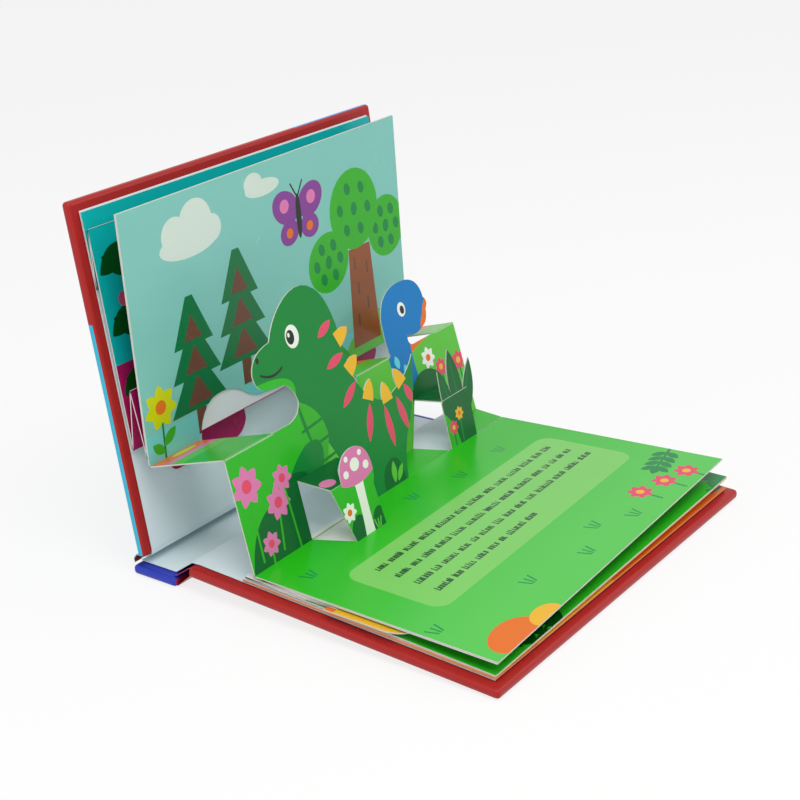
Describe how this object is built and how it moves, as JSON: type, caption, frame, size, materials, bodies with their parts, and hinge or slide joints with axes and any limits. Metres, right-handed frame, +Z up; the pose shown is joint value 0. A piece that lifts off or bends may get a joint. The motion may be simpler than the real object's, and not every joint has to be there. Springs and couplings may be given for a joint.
{
  "type": "pop up book",
  "caption": "Hard-cover children's pop-up book, open at a spread whose sky, shelf and ground pages hold cut-and-folded figures; the front cover turns on the spine.",
  "frame": {"origin": "middle of the spine's underside, where it lies on the table", "axes": "+X from the spine to the back cover's fore edge, +Y along the spine, away from the near edge in the picture, +Z up"},
  "size_m": [0.1409, 0.136, 0.1139],
  "materials": {
    "grey_board": "rough, unprinted",
    "cover_paper": "gloss laminated print",
    "lining_paper": "satin",
    "card_1": "gloss laminated print, white edges",
    "card_2": "gloss laminated print, white edges",
    "card_3": "gloss laminated print, white edges",
    "card_4": "gloss laminated print, white edges"
  },
  "bodies": {
    "book": {"spine_board": "grey_board", "back_board": "grey_board", "case_covering": "cover_paper", "case_lining": "lining_paper", "sheet_1": "card_1", "sheet_2": "card_2", "sheet_3": "card_3", "sheet_4": "card_4"},
    "front_cover": {"front_board": "grey_board", "front_covering": "cover_paper", "front_lining": "lining_paper"}
  },
  "joints": [
    {"name": "front_cover_hinge", "type": "hinge", "parent": "book", "child": "front_cover", "pos_m": [-0.0088, 0, 0.003], "axis": [0, -1, 0], "range_deg": [0, 86]}
  ]
}
